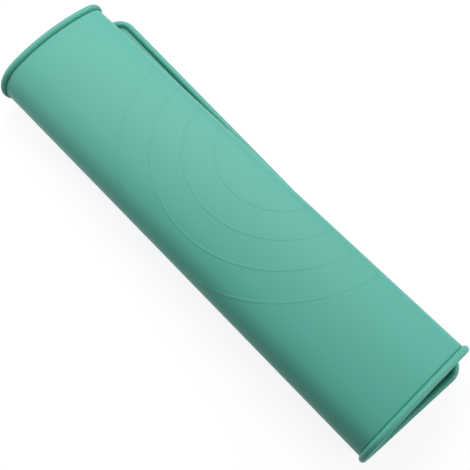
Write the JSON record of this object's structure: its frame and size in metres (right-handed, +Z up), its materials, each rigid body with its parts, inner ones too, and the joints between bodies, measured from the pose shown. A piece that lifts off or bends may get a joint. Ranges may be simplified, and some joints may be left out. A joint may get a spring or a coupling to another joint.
{
  "type": "pastry mat",
  "caption": "Thin silicone pastry mat with a round raised rim and concentric guide circles, rolled up loosely and lying on its side with its outer edge flat on the table.",
  "frame": {"origin": "middle of the roll's footprint, on the table", "axes": "+X along the roll, +Y from the tall turn towards the free outer edge, +Z up"},
  "size_m": [0.4282, 0.1254, 0.0524],
  "materials": {
    "teal_silicone": "satin, softly translucent"
  },
  "bodies": {
    "root": {"mat_sheet": "teal_silicone", "rim_bead": "teal_silicone", "guide_ring_1": "teal_silicone", "guide_ring_2": "teal_silicone", "guide_ring_3": "teal_silicone", "guide_ring_4": "teal_silicone"}
  },
  "joints": []
}
